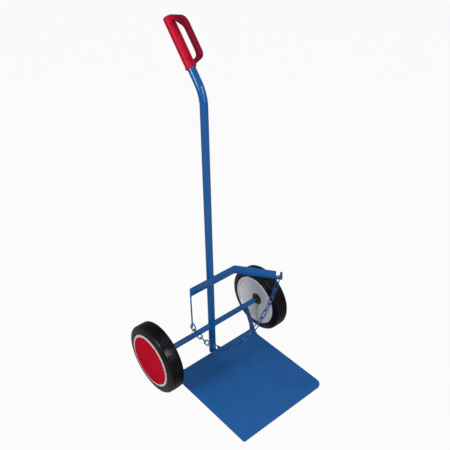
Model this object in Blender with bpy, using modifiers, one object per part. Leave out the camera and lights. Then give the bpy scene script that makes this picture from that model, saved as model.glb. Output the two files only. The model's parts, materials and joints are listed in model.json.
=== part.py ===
"""Gas cylinder cart: a bent mast on a toe plate, a cradle with a chain and two wheels.

Metres, +Z up, floor at z = 0. The wheels turn about X, the toe plate points to -Y.
"""

import math

import bmesh
import bpy
from mathutils import Matrix, Vector

# General fits
GAP = 0.0003
FIT = 0.0003
OVERRUN = 0.010
SMOOTH_ANGLE = math.radians(35.0)
ARC_STEPS = 16

# Wheels
WHEEL_DIAMETER = 0.250
WHEEL_TRACK = 0.479
TREAD_WIDTH = 0.048
TYRE_WIDTH = 0.0576
TYRE_SHOULDER = 0.0035
TYRE_SHOULDER_WIDTH = 0.005
SIDEWALL_RISE = 0.005
FLANK_FLARE = 0.002
FLANK_DROP = 0.009
RIM_DIAMETER = 0.193
RIM_WIDTH = 0.060
RIM_WALL = 0.005
LIP_HEIGHT = 0.003
LIP_THICKNESS = 0.0025
RIM_EDGE = 0.001
RIM_WEB = 0.005
DISH_START = 0.005
DISH_CORNER = 0.004
DISH_DEPTH = 0.015
CAP_STEP = 0.0025
CAP_PROUD = 0.0015
CAP_SKIRT = 0.004
CAP_WALL = 0.002
CAP_EDGE = 0.002
CAP_DRAFT = 0.001
WHEEL_STEPS = 40

# Hub
BUSH_DIAMETER = 0.029
BUSH_FLANGE_DIAMETER = 0.046
BUSH_FLANGE_THICKNESS = 0.003
BUSH_NECK_DIAMETER = 0.024
BUSH_NECK_LENGTH = 0.0125
BUSH_OUTER_END = 0.012
BUSH_EDGE = 0.001
HUB_BOSS_DIAMETER = 0.056
HUB_BOSS_DRAFT = 0.004
WASHER_DIAMETER = 0.028
WASHER_THICKNESS = 0.002
RETAINER_WALL = 0.0025
RETAINER_DEPTH = 0.006
RETAINER_DOME = 0.002
RETAINER_EDGE = 0.003
HUB_STEPS = 24

# Axle
AXLE_DIAMETER = 0.020
STUB_DIAMETER = 0.016
STUB_CHAMFER = 0.001
SHOULDER_CHAMFER = 0.0005

# Mast
MAST_DIAMETER = 0.025
MAST_WALL = 0.002
MAST_OFFSET = 0.0027
MAST_KNEE_HEIGHT = 0.999
MAST_LEAN = math.radians(39.0)
MAST_BEND_RADIUS = 0.110
MAST_TOP_LENGTH = 0.234
MAST_BEND_STEPS = 9
ROUND_RESOLUTION = 10

# Hand grip
GRIP_WALL = 0.003
GRIP_LENGTH = 0.160
GRIP_END_WALL = 0.008
GRIP_END_ROUND = 0.004
GRIP_COLLAR_RAISE = 0.0015
GRIP_COLLAR_LENGTH = 0.006
GRIP_COLLAR_TAPER = 0.002
GRIP_STEPS = 24
GUARD_REACH = 0.0755
GUARD_STRIP = 0.0195
GUARD_FOOT = 0.0125
GUARD_WIDTH = 0.0135
GUARD_INSET = 0.001
GUARD_EDGE = 0.0015
GUARD_SHOULDER = 0.124
GUARD_TOP = 0.024
GUARD_ROOT = 0.021
GUARD_CREST = 0.0142
GUARD_FOOT_CORNER = 0.018
GUARD_SHOULDER_CORNER = 0.040
GUARD_CREST_CORNER = 0.010
HOLE_CREST = 0.0245
HOLE_FOOT_CORNER = 0.012
HOLE_SHOULDER_CORNER = 0.030
HOLE_CREST_CORNER = 0.006

# Toe plate
PLATE_WIDTH = 0.367
PLATE_DEPTH = 0.373
PLATE_THICKNESS = 0.004
PLATE_BACK = 0.0098
PLATE_LEFT_CORNER = 0.006
PLATE_RIGHT_CORNER = 0.026
PLATE_BACK_CORNER = 0.003
NOTCH_STEPS = 8

# Stays from plate to axle
STAY_THICKNESS = 0.005
STAY_TOP_WIDTH = 0.022
STAY_FOOT_LENGTH = 0.028
STAY_FOOT_FLARE = 0.012
STAY_LEAN = 0.012
STAY_EDGE_INSET = 0.001
STAY_BACK_INSET = 0.001
STAY_KNEE_HEIGHT = 0.030
STAY_BACK_BEND = 0.020
STAY_FRONT_BEND = 0.040
STAY_TAPER = 0.002
STAY_TOE = 0.0015
STAY_SADDLE = 0.0022

# Cradle bar
BAR_DEPTH = 0.032
BAR_THICKNESS = 0.005
BAR_HEIGHT = 0.323
CRADLE_HALF = 0.097
ARM_SPLAY = math.radians(35.5)
ARM_BEND_RADIUS = 0.008
LEFT_REACH = 0.145
RIGHT_REACH = 0.154
EYE_DIAMETER = 0.010
EYE_EDGE = 0.003
SLOT_WIDTH = 0.013
SLOT_FLOOR = 0.009
HOOK_TIP = 0.009
HOOK_DROP = 0.0003

# Chain
WIRE_DIAMETER = 0.004
LINK_PITCH = 0.0284
LINK_GAP = 0.0005
LINK_CLEARANCE = 0.0006
ANCHOR_DROP = 0.001
LEFT_TILT = math.radians(18.0)
LEFT_SLIP = 0.0020
FREE_LINKS = 19
LINK_ARC_STEPS = 5
LINK_RESOLUTION = 1

# Derived positions
WHEEL_RADIUS = WHEEL_DIAMETER / 2
HALF_TRACK = WHEEL_TRACK / 2
RIM_RADIUS = RIM_DIAMETER / 2
HALF_RIM = RIM_WIDTH / 2
SEAT_RADIUS = RIM_RADIUS - LIP_HEIGHT
SEAT_HALF = HALF_RIM - LIP_THICKNESS
CAP_HOLE_RADIUS = SEAT_RADIUS - RIM_WALL
CAP_SEAT = HALF_RIM - CAP_SKIRT
FLANGE_FACE = HALF_RIM - DISH_DEPTH
NECK_END = FLANGE_FACE + BUSH_FLANGE_THICKNESS + BUSH_NECK_LENGTH
MAST_RADIUS = MAST_DIAMETER / 2
AXLE_RADIUS = AXLE_DIAMETER / 2
STUB_RADIUS = STUB_DIAMETER / 2
WIRE_RADIUS = WIRE_DIAMETER / 2

# Chain anchors on the cradle arms, and a link wide enough to straddle the bar there
CRADLE_MIDDLE_Y = -MAST_OFFSET - MAST_RADIUS - GAP - BAR_THICKNESS / 2
EYE_HEIGHT = BAR_HEIGHT + EYE_EDGE + EYE_DIAMETER / 2
SLOT_HEIGHT = BAR_HEIGHT + SLOT_FLOOR + SLOT_WIDTH / 2
ARM_ALONG = Vector((math.sin(ARM_SPLAY), -math.cos(ARM_SPLAY), 0.0))
LEFT_ARM_ALONG = Vector((-ARM_ALONG.x, ARM_ALONG.y, 0.0))
LEFT_EYE = Vector((-CRADLE_HALF, CRADLE_MIDDLE_Y, EYE_HEIGHT)) + LEFT_REACH * LEFT_ARM_ALONG
RIGHT_SLOT = Vector((CRADLE_HALF, CRADLE_MIDDLE_Y, SLOT_HEIGHT)) + RIGHT_REACH * ARM_ALONG
CHAIN_YAW = math.atan2(RIGHT_SLOT.y - LEFT_EYE.y, RIGHT_SLOT.x - LEFT_EYE.x)
CHAIN_ALONG = Vector((math.cos(CHAIN_YAW), math.sin(CHAIN_YAW), 0.0))
LEFT_ANCHOR = LEFT_EYE - LEFT_SLIP * CHAIN_ALONG
RIGHT_ANCHOR = RIGHT_SLOT - Vector((0, 0, ANCHOR_DROP))
LINK_HALF = (BAR_THICKNESS / 2 + WIRE_RADIUS + LINK_CLEARANCE) / math.cos(ARM_SPLAY + abs(CHAIN_YAW))
LINK_REACH = LINK_PITCH + WIRE_DIAMETER
WIRE_STEP = WIRE_DIAMETER + LINK_GAP

# Points that the free links hang from, at the lower ends of the end links
LEFT_DOWN = math.sin(LEFT_TILT) * CHAIN_ALONG - math.cos(LEFT_TILT) * Vector((0, 0, 1))
LEFT_HANG = LEFT_ANCHOR + LINK_REACH * LEFT_DOWN
RIGHT_HANG = RIGHT_ANCHOR - Vector((0, 0, LINK_REACH))
CHAIN_SPAN = (RIGHT_HANG - LEFT_HANG).length
CHAIN_PITCH = math.asin((RIGHT_HANG.z - LEFT_HANG.z) / CHAIN_SPAN)

for old in list(bpy.data.objects):
    bpy.data.objects.remove(old, do_unlink=True)

parts = bpy.data.collections.new("gas_cylinder_cart")
cutters = bpy.data.collections.new("cutters")
bpy.context.scene.collection.children.link(parts)
bpy.context.scene.collection.children.link(cutters)


def paint(name, colour, roughness, metallic):
    """Make a Principled material."""
    material = bpy.data.materials.new(name)
    material.use_nodes = True
    shader = material.node_tree.nodes["Principled BSDF"]
    shader.inputs["Base Color"].default_value = (*colour, 1.0)
    shader.inputs["Roughness"].default_value = roughness
    shader.inputs["Metallic"].default_value = metallic
    return material


def keep(obj, material):
    """Put a finished piece with the parts and paint it."""
    parts.objects.link(obj)
    obj.data.materials.clear()
    obj.data.materials.append(material)
    return obj


def cutter(obj):
    """Put a helper with the cutters, out of the render."""
    cutters.objects.link(obj)
    obj.hide_render = True
    obj.display_type = "WIRE"
    return obj


def welded(source):
    """Turn a curve or a turned profile into a closed mesh with its round faces smooth."""
    bpy.context.scene.collection.objects.link(source)
    graph = bpy.context.evaluated_depsgraph_get()
    mesh = bpy.data.meshes.new_from_object(source.evaluated_get(graph))
    bpy.data.objects.remove(source, do_unlink=True)
    shape = bmesh.new()
    shape.from_mesh(mesh)
    bmesh.ops.remove_doubles(shape, verts=shape.verts, dist=1e-6)
    bmesh.ops.recalc_face_normals(shape, faces=shape.faces)
    shape.to_mesh(mesh)
    shape.free()
    mesh.shade_smooth()
    mesh.set_sharp_from_angle(angle=SMOOTH_ANGLE)
    return mesh


def meshed(curve, name, matrix=None):
    """Turn a curve into a mesh object of the same shape."""
    mesh = welded(bpy.data.objects.new(name + "_curve", curve))
    if matrix is not None:
        mesh.transform(matrix)
    return bpy.data.objects.new(name, mesh)


def outline(name, loops, depth):
    """Make a filled flat curve from loops of (x, y), with the depth along Z."""
    curve = bpy.data.curves.new(name, "CURVE")
    curve.dimensions = "2D"
    curve.fill_mode = "BOTH"
    curve.extrude = depth / 2
    for loop in loops:
        spline = curve.splines.new("POLY")
        spline.points.add(len(loop) - 1)
        for point, (x, y) in zip(spline.points, loop):
            point.co = (x, y, 0.0, 1.0)
        spline.use_cyclic_u = True
    return curve


def rod(name, path, radius, resolution, closed=False):
    """Make a round bar along a path of points."""
    curve = bpy.data.curves.new(name, "CURVE")
    curve.dimensions = "3D"
    curve.bevel_depth = radius
    curve.bevel_resolution = resolution
    curve.use_fill_caps = not closed
    spline = curve.splines.new("POLY")
    spline.points.add(len(path) - 1)
    for point, place in zip(spline.points, path):
        point.co = (*place, 1.0)
    spline.use_cyclic_u = closed
    return curve


def rounded(corners, steps=6):
    """Replace each (x, y, radius) corner by an arc, and leave a radius of 0 sharp."""
    loop = []
    for i, (x, y, radius) in enumerate(corners):
        here = Vector((x, y))
        if radius == 0:
            loop.append(here)
            continue
        before = (Vector(corners[i - 1][:2]) - here).normalized()
        after = (Vector(corners[(i + 1) % len(corners)][:2]) - here).normalized()
        half = before.angle(after) / 2
        centre = here + (before + after).normalized() * radius / math.sin(half)
        start = here + before * radius / math.tan(half) - centre
        turn = start.angle_signed(here + after * radius / math.tan(half) - centre)
        for step in range(steps + 1):
            loop.append(centre + Matrix.Rotation(-turn * step / steps, 2) @ start)
    return loop


def turned(name, profile, side, steps, place, on_axis=False):
    """Turn a profile of (x, radius) about X. A side of -1 mirrors it."""
    points = [(side * x, 0.0, radius) for x, radius in profile]
    edges = [(i, i + 1) for i in range(len(points) - 1)]
    if not on_axis:
        edges.append((len(points) - 1, 0))
    mesh = bpy.data.meshes.new(name + "_profile")
    mesh.from_pydata(points, edges, [])
    source = bpy.data.objects.new(name + "_profile", mesh)
    screw = source.modifiers.new("Turn", "SCREW")
    screw.axis = "X"
    screw.steps = steps
    screw.render_steps = steps
    screw.use_merge_vertices = True
    screw.merge_threshold = 1e-5
    obj = bpy.data.objects.new(name, welded(source))
    obj.location = place
    return obj


def cut(obj, tool, operation="DIFFERENCE"):
    """Add an exact Boolean."""
    boolean = obj.modifiers.new(tool.name, "BOOLEAN")
    boolean.operation = operation
    boolean.solver = "EXACT"
    boolean.object = tool


def drum(name, radius, length, matrix):
    """Make a cylinder along Z, then place it."""
    mesh = bpy.data.meshes.new(name)
    shape = bmesh.new()
    bmesh.ops.create_cone(
        shape, cap_ends=True, segments=32, radius1=radius, radius2=radius, depth=length, matrix=matrix
    )
    shape.to_mesh(mesh)
    shape.free()
    return cutter(bpy.data.objects.new(name, mesh))


blue = (0.022, 0.085, 0.285)
red = (0.47, 0.008, 0.022)
axle_line = Vector((0.0, 0.0, WHEEL_RADIUS))
upright = Matrix(((0, 0, 1, 0), (1, 0, 0, 0), (0, 1, 0, 0), (0, 0, 0, 1)))

# Mast: a bent round tube, open at the foot, standing in the notch of the toe plate
leg = Vector((0.0, math.sin(MAST_LEAN), math.cos(MAST_LEAN)))
knee = Vector((0.0, -MAST_OFFSET, MAST_KNEE_HEIGHT))
tangent = MAST_BEND_RADIUS * math.tan(MAST_LEAN / 2)
bend_centre = knee + Vector((0.0, MAST_BEND_RADIUS, -tangent))
bend = []
for step in range(MAST_BEND_STEPS + 1):
    angle = MAST_LEAN * step / MAST_BEND_STEPS
    arm = Vector((0.0, -math.cos(angle), math.sin(angle)))
    bend.append(bend_centre + MAST_BEND_RADIUS * arm)
foot = Vector((0.0, -MAST_OFFSET, GAP))
mast_top = knee + leg * MAST_TOP_LENGTH
mast_path = [foot] + bend + [mast_top]
bore_path = [foot - Vector((0, 0, OVERRUN))] + bend + [mast_top + leg * OVERRUN]
mast = meshed(rod("mast_tube", mast_path, MAST_RADIUS, ROUND_RESOLUTION), "mast_tube")
mast_bore = meshed(rod("mast_bore", bore_path, MAST_RADIUS - MAST_WALL, ROUND_RESOLUTION), "mast_bore")
cut(mast, cutter(mast_bore))
keep(mast, paint("mast_paint", blue, 0.35, 0.0))

# Hand grip: a moulded sleeve with a guard loop, pressed over the mast's end
grip_radius = MAST_RADIUS + FIT + GRIP_WALL
grip_foot = mast_top + leg * (GAP + GRIP_END_WALL - GRIP_LENGTH)
tilt = Matrix.Translation(grip_foot) @ Matrix.Rotation(-MAST_LEAN, 4, "X")
guard_root = MAST_RADIUS / 2
hole_reach = GUARD_REACH - GUARD_STRIP
hole_foot = GUARD_INSET + GUARD_FOOT
hole_top = GRIP_LENGTH - GUARD_ROOT
outer = rounded(
    [
        (0.0, GUARD_INSET, 0),
        (-GUARD_REACH, GUARD_INSET, GUARD_FOOT_CORNER),
        (-GUARD_REACH, GUARD_SHOULDER, GUARD_SHOULDER_CORNER),
        (-GUARD_CREST, GRIP_LENGTH - GUARD_INSET, GUARD_CREST_CORNER),
        (0.0, GRIP_LENGTH - GUARD_INSET, 0),
    ]
)
hole = rounded(
    [
        (-guard_root, hole_foot, 0),
        (-hole_reach, hole_foot, HOLE_FOOT_CORNER),
        (-hole_reach, GUARD_SHOULDER - GUARD_TOP, HOLE_SHOULDER_CORNER),
        (-HOLE_CREST, hole_top, HOLE_CREST_CORNER),
        (-guard_root, hole_top, 0),
    ]
)
guard_curve = outline("guard", [outer, hole], GUARD_WIDTH)
guard_curve.bevel_depth = GUARD_EDGE
guard_curve.bevel_resolution = 1
guard_curve.offset = -GUARD_EDGE
guard_curve.extrude = GUARD_WIDTH / 2 - GUARD_EDGE
guard = meshed(guard_curve, "guard", tilt @ upright)
sleeve_profile = [
    (0.0, 0.0),
    (0.0, grip_radius + GRIP_COLLAR_RAISE),
    (GRIP_COLLAR_LENGTH, grip_radius + GRIP_COLLAR_RAISE),
    (GRIP_COLLAR_LENGTH + GRIP_COLLAR_TAPER, grip_radius),
    (GRIP_LENGTH - GRIP_END_ROUND, grip_radius),
    (GRIP_LENGTH - GRIP_END_ROUND / 4, grip_radius - GRIP_END_ROUND / 2),
    (GRIP_LENGTH, grip_radius - GRIP_END_ROUND),
    (GRIP_LENGTH, 0.0),
]
grip = turned("hand_grip", sleeve_profile, 1, GRIP_STEPS, (0, 0, 0), on_axis=True)
grip.matrix_world = tilt @ Matrix.Rotation(-math.pi / 2, 4, "Y")
grip_bore = drum(
    "grip_bore",
    MAST_RADIUS + FIT,
    GRIP_LENGTH,
    tilt @ Matrix.Translation((0, 0, GRIP_LENGTH / 2 - GRIP_END_WALL)),
)
cut(grip, cutter(guard), "UNION")
cut(grip, grip_bore)
keep(grip, paint("grip_plastic", red, 0.4, 0.0))

# Toe plate: flat sheet with a notch for the mast in its back edge
half_plate = PLATE_WIDTH / 2
plate_front = -PLATE_BACK - PLATE_DEPTH
notch = MAST_RADIUS + GAP
reach = math.asin((PLATE_BACK - MAST_OFFSET) / notch)
plate_loop = rounded(
    [
        (half_plate, -PLATE_BACK, PLATE_BACK_CORNER),
        (half_plate, plate_front, PLATE_RIGHT_CORNER),
        (-half_plate, plate_front, PLATE_LEFT_CORNER),
        (-half_plate, -PLATE_BACK, PLATE_BACK_CORNER),
    ]
)
for step in range(NOTCH_STEPS + 1):
    angle = math.pi + reach + (math.pi - 2 * reach) * step / NOTCH_STEPS
    plate_loop.append(Vector((notch * math.cos(angle), -MAST_OFFSET + notch * math.sin(angle))))
plate = meshed(
    outline("toe_plate", [plate_loop], PLATE_THICKNESS),
    "toe_plate",
    Matrix.Translation((0, 0, PLATE_THICKNESS / 2)),
)
keep(plate, paint("plate_paint", blue, 0.35, 0.0))

# Axle halves: round bar coped to the mast, turned down to a stub for the wheel
shoulder = HALF_TRACK - NECK_END - GAP
stub_end = HALF_TRACK + BUSH_OUTER_END + WASHER_THICKNESS + RETAINER_DEPTH
axle_profile = [
    (0.0, 0.0),
    (0.0, AXLE_RADIUS),
    (shoulder - SHOULDER_CHAMFER, AXLE_RADIUS),
    (shoulder, AXLE_RADIUS - SHOULDER_CHAMFER),
    (shoulder, STUB_RADIUS),
    (stub_end - STUB_CHAMFER, STUB_RADIUS),
    (stub_end, STUB_RADIUS - STUB_CHAMFER),
    (stub_end, 0.0),
]
cope = drum(
    "mast_cope",
    MAST_RADIUS + GAP,
    4 * AXLE_DIAMETER,
    Matrix.Translation((0, -MAST_OFFSET, WHEEL_RADIUS)),
)

# Stays: leaning strips cut with a flared foot, between the plate's back corners and the axle
stay_foot = PLATE_THICKNESS + GAP
stay_top = WHEEL_RADIUS - AXLE_RADIUS + STAY_SADDLE
stay_back = -PLATE_BACK - STAY_BACK_INSET
stay_front = stay_back - STAY_FOOT_LENGTH
stay_knee = stay_foot + STAY_KNEE_HEIGHT
saddle = drum(
    "axle_saddle",
    AXLE_RADIUS + GAP,
    WHEEL_TRACK,
    Matrix.Translation(axle_line) @ Matrix.Rotation(math.pi / 2, 4, "Y"),
)
stay_loop = rounded(
    [
        (stay_back, stay_foot, 0),
        (stay_back - STAY_TAPER / 2, stay_knee, STAY_BACK_BEND),
        (STAY_TOP_WIDTH / 2, stay_top, 0),
        (-STAY_TOP_WIDTH / 2, stay_top, 0),
        (stay_front + STAY_TAPER, stay_knee, STAY_FRONT_BEND),
        (stay_front - STAY_TAPER, stay_foot + STAY_FOOT_FLARE, STAY_FOOT_FLARE),
        (stay_front - STAY_FOOT_FLARE, stay_foot + STAY_TOE, 0),
        (stay_front - STAY_FOOT_FLARE, stay_foot, 0),
    ]
)
stay_lean = STAY_LEAN / (stay_top - stay_foot)

for side, word in ((-1, "left"), (1, "right")):
    axle = turned(word + "_axle", axle_profile, side, HUB_STEPS, axle_line, on_axis=True)
    cut(axle, cope)
    keep(axle, paint(word + "_axle_paint", blue, 0.35, 0.0))

    foot_x = side * (half_plate - STAY_EDGE_INSET - STAY_THICKNESS / 2)
    shear = Matrix.Identity(4)
    shear[0][2] = -side * stay_lean
    shear[0][3] = foot_x + side * stay_lean * stay_foot
    stay = meshed(outline(word + "_stay", [stay_loop], STAY_THICKNESS), word + "_stay", shear @ upright)
    cut(stay, saddle)
    keep(stay, paint(word + "_stay_paint", blue, 0.35, 0.0))

# Cradle: one flat bar bent to a tray in plan, with an eye on the left arm and a hook on the right
arm_out = ARM_ALONG.to_2d()
left_arm = LEFT_REACH + EYE_DIAMETER / 2 + EYE_EDGE
right_arm = RIGHT_REACH + SLOT_WIDTH / 2 + HOOK_TIP
half_bar = BAR_THICKNESS / 2
mitre = half_bar * math.tan((math.pi / 2 - ARM_SPLAY) / 2)
arm_side = Vector((math.cos(ARM_SPLAY), math.sin(ARM_SPLAY))) * half_bar
bend_right = Vector((CRADLE_HALF, CRADLE_MIDDLE_Y))
right_end = bend_right + arm_out * right_arm
left_end = bend_right + arm_out * left_arm
inner_radius = ARM_BEND_RADIUS
outer_radius = ARM_BEND_RADIUS + BAR_THICKNESS
cradle_loop = rounded(
    [
        (CRADLE_HALF + mitre, CRADLE_MIDDLE_Y + half_bar, outer_radius),
        (right_end.x + arm_side.x, right_end.y + arm_side.y, 0),
        (right_end.x - arm_side.x, right_end.y - arm_side.y, 0),
        (CRADLE_HALF - mitre, CRADLE_MIDDLE_Y - half_bar, inner_radius),
        (-CRADLE_HALF + mitre, CRADLE_MIDDLE_Y - half_bar, inner_radius),
        (-left_end.x + arm_side.x, left_end.y - arm_side.y, 0),
        (-left_end.x - arm_side.x, left_end.y + arm_side.y, 0),
        (-CRADLE_HALF - mitre, CRADLE_MIDDLE_Y + half_bar, outer_radius),
    ]
)
cradle = meshed(
    outline("cradle_bar", [cradle_loop], BAR_DEPTH),
    "cradle_bar",
    Matrix.Translation((0, 0, BAR_HEIGHT + BAR_DEPTH / 2)),
)
eye = drum(
    "chain_eye",
    EYE_DIAMETER / 2,
    4 * BAR_THICKNESS,
    Matrix.Translation(LEFT_EYE)
    @ Matrix.Rotation(-ARM_SPLAY, 4, "Z")
    @ Matrix.Rotation(math.pi / 2, 4, "Y"),
)
slot_half = SLOT_WIDTH / 2
bar_top = BAR_HEIGHT + BAR_DEPTH - SLOT_HEIGHT
tip_top = bar_top - HOOK_DROP
clear_top = bar_top + OVERRUN
tip_radius = HOOK_TIP / 2
tip_middle = Vector((slot_half + tip_radius, tip_top - tip_radius))
clear_end = slot_half + HOOK_TIP + OVERRUN
slot_loop = [Vector((-slot_half, clear_top))]
for step in range(ARC_STEPS + 1):
    angle = math.pi + math.pi * step / ARC_STEPS
    slot_loop.append(slot_half * Vector((math.cos(angle), math.sin(angle))))
for step in range(ARC_STEPS + 1):
    angle = math.pi - math.pi * step / ARC_STEPS
    slot_loop.append(tip_middle + tip_radius * Vector((math.cos(angle), math.sin(angle))))
slot_loop.append(Vector((clear_end, tip_middle.y)))
slot_loop.append(Vector((clear_end, clear_top)))
slot_frame = Matrix(
    (
        (arm_out.x, 0, arm_out.y, RIGHT_SLOT.x),
        (arm_out.y, 0, -arm_out.x, RIGHT_SLOT.y),
        (0, 1, 0, RIGHT_SLOT.z),
        (0, 0, 0, 1),
    )
)
slot = cutter(meshed(outline("hook_slot", [slot_loop], 4 * BAR_THICKNESS), "hook_slot", slot_frame))
cut(cradle, eye)
cut(cradle, slot)
keep(cradle, paint("cradle_paint", blue, 0.35, 0.0))

# Wheels: rubber tyre, moulded rim, flanged bush, snap-in cap, all on the joint axis
half_tyre = TYRE_WIDTH / 2
half_tread = TREAD_WIDTH / 2
tyre_half = [
    (SEAT_HALF - GAP, SEAT_RADIUS + GAP),
    (SEAT_HALF - GAP, RIM_RADIUS + GAP),
    (half_tyre, RIM_RADIUS + SIDEWALL_RISE),
    (half_tyre, RIM_RADIUS + 2 * SIDEWALL_RISE),
    (half_tread + FLANK_FLARE, WHEEL_RADIUS - FLANK_DROP),
    (half_tread, WHEEL_RADIUS - TYRE_SHOULDER),
    (half_tread - 0.3 * TYRE_SHOULDER_WIDTH, WHEEL_RADIUS - 0.3 * TYRE_SHOULDER),
    (half_tread - TYRE_SHOULDER_WIDTH, WHEEL_RADIUS),
]
tyre_profile = tyre_half + [(-x, radius) for x, radius in reversed(tyre_half)]
cap_rim = CAP_HOLE_RADIUS - CAP_STEP
boss = HUB_BOSS_DIAMETER / 2
bush_hole = BUSH_DIAMETER / 2 + FIT
dish_start = DISH_START - HALF_RIM
web_start = dish_start + RIM_WEB
boss_end = BUSH_OUTER_END - BUSH_EDGE
rim_profile = [
    (HALF_RIM, CAP_HOLE_RADIUS),
    (HALF_RIM, RIM_RADIUS),
    (SEAT_HALF, RIM_RADIUS),
    (SEAT_HALF, SEAT_RADIUS),
    (-SEAT_HALF, SEAT_RADIUS),
    (-SEAT_HALF, RIM_RADIUS),
    (-HALF_RIM, RIM_RADIUS),
    (-HALF_RIM, CAP_HOLE_RADIUS + RIM_EDGE),
    (-HALF_RIM + RIM_EDGE, CAP_HOLE_RADIUS),
    (dish_start - RIM_EDGE, CAP_HOLE_RADIUS - RIM_EDGE),
    (dish_start, CAP_HOLE_RADIUS - DISH_CORNER),
    (-FLANGE_FACE, boss),
    (-FLANGE_FACE, bush_hole),
    (boss_end, bush_hole),
    (boss_end, boss - HUB_BOSS_DRAFT),
    (-FLANGE_FACE + RIM_WEB + HUB_BOSS_DRAFT, boss),
    (web_start, cap_rim - DISH_CORNER),
    (web_start + DISH_CORNER, cap_rim),
    (CAP_SEAT, cap_rim),
    (CAP_SEAT, CAP_HOLE_RADIUS),
]
bush_bore = STUB_RADIUS + FIT
bush_profile = [
    (BUSH_OUTER_END, bush_bore),
    (BUSH_OUTER_END, BUSH_DIAMETER / 2),
    (-FLANGE_FACE - GAP, BUSH_DIAMETER / 2),
    (-FLANGE_FACE - GAP, BUSH_FLANGE_DIAMETER / 2),
    (-FLANGE_FACE - BUSH_FLANGE_THICKNESS, BUSH_FLANGE_DIAMETER / 2 - BUSH_EDGE),
    (-FLANGE_FACE - BUSH_FLANGE_THICKNESS, BUSH_NECK_DIAMETER / 2 + BUSH_EDGE),
    (-FLANGE_FACE - BUSH_FLANGE_THICKNESS - BUSH_EDGE, BUSH_NECK_DIAMETER / 2),
    (-NECK_END, BUSH_NECK_DIAMETER / 2),
    (-NECK_END, bush_bore),
]
cap_radius = CAP_HOLE_RADIUS - FIT
cap_face = HALF_RIM + CAP_PROUD
cap_profile = [
    (cap_face - CAP_WALL, 0.0),
    (cap_face - CAP_WALL, cap_radius - CAP_WALL - CAP_DRAFT),
    (CAP_SEAT + GAP, cap_radius - CAP_WALL),
    (CAP_SEAT + GAP, cap_radius),
    (cap_face - CAP_EDGE, cap_radius),
    (cap_face, cap_radius - CAP_EDGE),
    (cap_face, 0.0),
]
washer_start = BUSH_OUTER_END + GAP
washer_end = BUSH_OUTER_END + WASHER_THICKNESS - GAP
washer_profile = [
    (washer_start, STUB_RADIUS + FIT),
    (washer_start, WASHER_DIAMETER / 2),
    (washer_end, WASHER_DIAMETER / 2),
    (washer_end, STUB_RADIUS + FIT),
]
retainer_start = BUSH_OUTER_END + WASHER_THICKNESS
retainer_end = retainer_start + RETAINER_DEPTH
retainer_radius = STUB_RADIUS + FIT + RETAINER_WALL
retainer_profile = [
    (retainer_end + GAP, 0.0),
    (retainer_end + GAP, STUB_RADIUS + FIT),
    (retainer_start, STUB_RADIUS + FIT),
    (retainer_start, retainer_radius),
    (retainer_end, retainer_radius),
    (retainer_end + RETAINER_DOME, retainer_radius - RETAINER_EDGE),
    (retainer_end + RETAINER_DOME, 0.0),
]

for side, word in ((-1, "left"), (1, "right")):
    hub = axle_line + Vector((side * HALF_TRACK, 0, 0))
    tyre = turned(word + "_tyre", tyre_profile, side, WHEEL_STEPS, hub)
    rim = turned(word + "_rim", rim_profile, side, WHEEL_STEPS, hub)
    bush = turned(word + "_hub_bush", bush_profile, side, HUB_STEPS, hub)
    cap = turned(word + "_hub_cap", cap_profile, side, WHEEL_STEPS, hub, on_axis=True)
    washer = turned(word + "_washer", washer_profile, side, HUB_STEPS, hub)
    retainer = turned(word + "_retainer", retainer_profile, side, HUB_STEPS, hub, on_axis=True)
    keep(tyre, paint(word + "_rubber", (0.012, 0.011, 0.014), 0.6, 0.0))
    keep(rim, paint(word + "_rim_plastic", (0.46, 0.45, 0.49), 0.45, 0.0))
    keep(bush, paint(word + "_bush_nylon", (0.01, 0.01, 0.01), 0.45, 0.0))
    keep(cap, paint(word + "_cap_plastic", red, 0.3, 0.0))
    keep(washer, paint(word + "_washer_steel", (0.5, 0.5, 0.52), 0.35, 1.0))
    keep(retainer, paint(word + "_retainer_steel", (0.5, 0.5, 0.52), 0.35, 1.0))

# Chain: bent wire links hanging between the eye and the hook slot
chain_paint = paint("chain_paint", blue, 0.35, 0.0)
straight = LINK_REACH / 2 - LINK_HALF
link_path = []
for end in (1, -1):
    for step in range(LINK_ARC_STEPS + 1):
        angle = math.pi * (step / LINK_ARC_STEPS - 0.5)
        forward = straight + LINK_HALF * math.cos(angle)
        sideways = LINK_HALF * math.sin(angle)
        link_path.append((end * forward, end * sideways, 0.0))


def link(name, across):
    """Make one link along X. Across turns its loop into the XZ plane."""
    curve = rod(name, link_path, WIRE_RADIUS, LINK_RESOLUTION, closed=True)
    if across:
        curve.transform(Matrix.Rotation(math.pi / 2, 4, "X"))
    return keep(bpy.data.objects.new(name, curve), chain_paint)


swing = bpy.data.objects.new("chain_swing_axis", None)
swing.location = (LEFT_HANG + RIGHT_HANG) / 2
swing.rotation_euler = (0, -CHAIN_PITCH, CHAIN_YAW)
parts.objects.link(swing)

hangers = (("left", LEFT_ANCHOR, LEFT_HANG, LEFT_TILT), ("right", RIGHT_ANCHOR, RIGHT_HANG, 0.0))
for word, top, bottom, tilt in hangers:
    end_link = link(word + "_end_link", True)
    end_link.rotation_euler = (0, math.pi / 2 - tilt, CHAIN_YAW)
    end_link.location = (top + bottom) / 2

step_length = LINK_PITCH - LINK_GAP
middle_link = (FREE_LINKS - 1) / 2
first_slip = WIRE_STEP * math.tan(LEFT_TILT)
loose, tight = 0.0, 50.0
for _ in range(60):
    slope = (loose + tight) / 2
    dips = [math.atan(slope * (i - middle_link)) for i in range(FREE_LINKS)]
    width = step_length * sum(math.cos(dip) for dip in dips) + WIRE_STEP * math.cos(dips[0])
    if width > CHAIN_SPAN + first_slip:
        loose = slope
    else:
        tight = slope

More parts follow.
